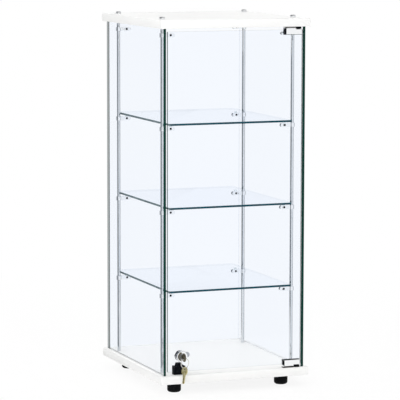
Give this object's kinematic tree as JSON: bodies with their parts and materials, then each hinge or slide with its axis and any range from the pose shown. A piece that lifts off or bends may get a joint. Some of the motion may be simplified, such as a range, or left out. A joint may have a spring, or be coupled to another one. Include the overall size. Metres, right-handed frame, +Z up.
{
  "type": "countertop display cabinet",
  "caption": "Tall frameless glass display cabinet with white boards, clip-held glass shelves on rods, a pivot-hung glass door and a cam lock with keys.",
  "frame": {"origin": "middle of the whole plan box, hanging keys included, on the surface that the feet stand on", "axes": "+X to the right as seen from the door, +Y from the door to the back, +Z up"},
  "size_m": [0.388, 0.4634, 0.916],
  "materials": {
    "white_laminate": "white melamine-faced board, satin",
    "clear_glass": "clear float glass, polished green edge",
    "shelf_glass": "clear float glass, polished teal edge",
    "chrome_rod": "chromed steel rod",
    "chrome_clip": "chromed cast clip",
    "chrome_fitting": "bright chrome",
    "zinc_steel": "zinc-plated steel",
    "black_steel": "blackened steel",
    "black_rubber": "moulded black rubber",
    "black_nylon": "moulded black nylon",
    "clear_pad": "clear soft PVC",
    "grey_liner": "soft grey liner",
    "nickel_key": "dull nickel over brass",
    "steel_ring": "nickel-plated steel wire",
    "brass_key": "stamped brass"
  },
  "bodies": {
    "cabinet": {"base_board": "white_laminate", "top_board": "white_laminate", "left_glass": "clear_glass", "right_glass": "clear_glass", "back_glass": "clear_glass", "front_left_post": "chrome_rod", "front_right_post": "chrome_rod", "rear_left_post": "chrome_rod", "rear_right_post": "chrome_rod", "cap_nuts": "chrome_fitting", "base_screws": "zinc_steel", "top_clips": "chrome_clip", "top_clip_screws": "black_steel", "front_left_foot": "black_rubber", "front_right_foot": "black_rubber", "rear_left_foot": "black_rubber", "rear_right_foot": "black_rubber", "foot_washers": "zinc_steel", "foot_screws": "zinc_steel", "lower_bush": "black_nylon", "upper_bush": "black_nylon", "keeper_block": "black_nylon", "keeper_screws": "black_steel"},
    "lower_shelf_set": {"lower_shelf": "shelf_glass", "lower_shelf_pads": "clear_pad", "lower_shelf_clips": "chrome_clip", "lower_clip_screws": "black_steel"},
    "middle_shelf_set": {"middle_shelf": "shelf_glass", "middle_shelf_pads": "clear_pad", "middle_shelf_clips": "chrome_clip", "middle_clip_screws": "black_steel"},
    "upper_shelf_set": {"upper_shelf": "shelf_glass", "upper_shelf_pads": "clear_pad", "upper_shelf_clips": "chrome_clip", "upper_clip_screws": "black_steel"},
    "door": {"door_glass": "clear_glass", "lower_hinge_clamp": "chrome_fitting", "upper_hinge_clamp": "chrome_fitting", "lower_hinge_liner": "grey_liner", "upper_hinge_liner": "grey_liner", "lower_set_screws": "black_steel", "upper_set_screws": "black_steel", "lower_pivot_pin": "zinc_steel", "upper_pivot_pin": "zinc_steel", "lock_housing": "chrome_fitting", "lock_gasket": "black_rubber", "lock_washer": "black_nylon", "lock_nut": "zinc_steel"},
    "lock_core": {"lock_plug": "chrome_fitting", "lock_wafers": "brass_key", "lock_cam": "zinc_steel", "cam_screw": "zinc_steel"},
    "key_in_lock": {"key": "nickel_key"},
    "ring": {"key_ring": "steel_ring"},
    "hanging_key": {"spare_key": "brass_key"}
  },
  "joints": [
    {"name": "lower_shelf_height", "type": "slide", "parent": "cabinet", "child": "lower_shelf_set", "axis": [0, 0, 1], "range_m": [-0.08, 0.08]},
    {"name": "middle_shelf_height", "type": "slide", "parent": "cabinet", "child": "middle_shelf_set", "axis": [0, 0, 1], "range_m": [-0.08, 0.08]},
    {"name": "upper_shelf_height", "type": "slide", "parent": "cabinet", "child": "upper_shelf_set", "axis": [0, 0, 1], "range_m": [-0.08, 0.08]},
    {"name": "door_hinge", "type": "hinge", "parent": "cabinet", "child": "door", "pos_m": [0.166, -0.1908, 0.048], "axis": [0, 0, 1], "range_deg": [0, 120]},
    {"name": "lock_turn", "type": "hinge", "parent": "door", "child": "lock_core", "pos_m": [-0.1405, -0.1933, 0.095], "axis": [0, 1, 0], "range_deg": [0, 90]},
    {"name": "key_slide", "type": "slide", "parent": "lock_core", "child": "key_in_lock", "axis": [0, -1, 0], "range_m": [0, 0.022]},
    {"name": "ring_swing", "type": "hinge", "parent": "key_in_lock", "child": "ring", "pos_m": [-0.1405, -0.22145, 0.0936], "axis": [0.9397, 0.342, 0], "range_deg": [-60, 5]},
    {"name": "spare_key_swing", "type": "hinge", "parent": "ring", "child": "hanging_key", "pos_m": [-0.1405, -0.22145, 0.0696], "axis": [0.9397, 0.342, 0], "range_deg": [-40, 5]}
  ]
}
